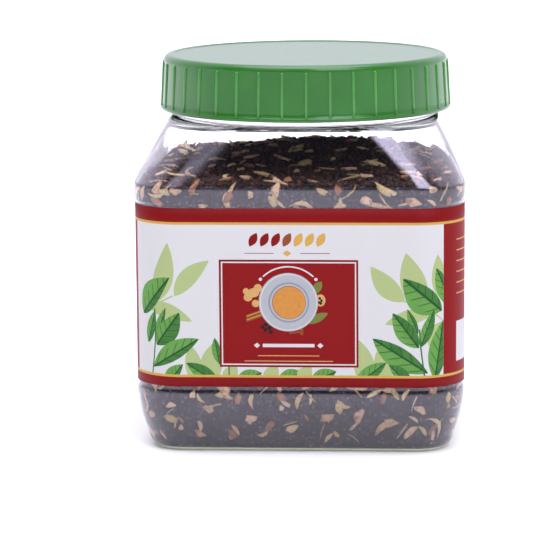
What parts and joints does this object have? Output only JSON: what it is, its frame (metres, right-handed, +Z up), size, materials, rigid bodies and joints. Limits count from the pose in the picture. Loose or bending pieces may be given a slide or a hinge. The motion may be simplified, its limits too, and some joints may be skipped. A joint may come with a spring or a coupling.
{
  "type": "jar of masala chai mix",
  "caption": "Square clear plastic jar with a round neck and a ribbed green screw cap, wrapped in a plain picture label and filled with dark loose tea and spices.",
  "frame": {"origin": "middle of the base, on the surface the jar stands on", "axes": "+Z up along the jar's axis, towards the cap; -Y towards the front of the label"},
  "size_m": [0.0984, 0.0984, 0.1146],
  "materials": {
    "clear_plastic": "clear glossy blown plastic",
    "cap_plastic": "satin moulded plastic with grip ribs",
    "label_film": "glossy printed film",
    "tea_mix": "dry dark granules with broken spices"
  },
  "bodies": {
    "root": {"jar": "clear_plastic", "cap": "cap_plastic", "label": "label_film", "mix": "tea_mix"}
  },
  "joints": []
}
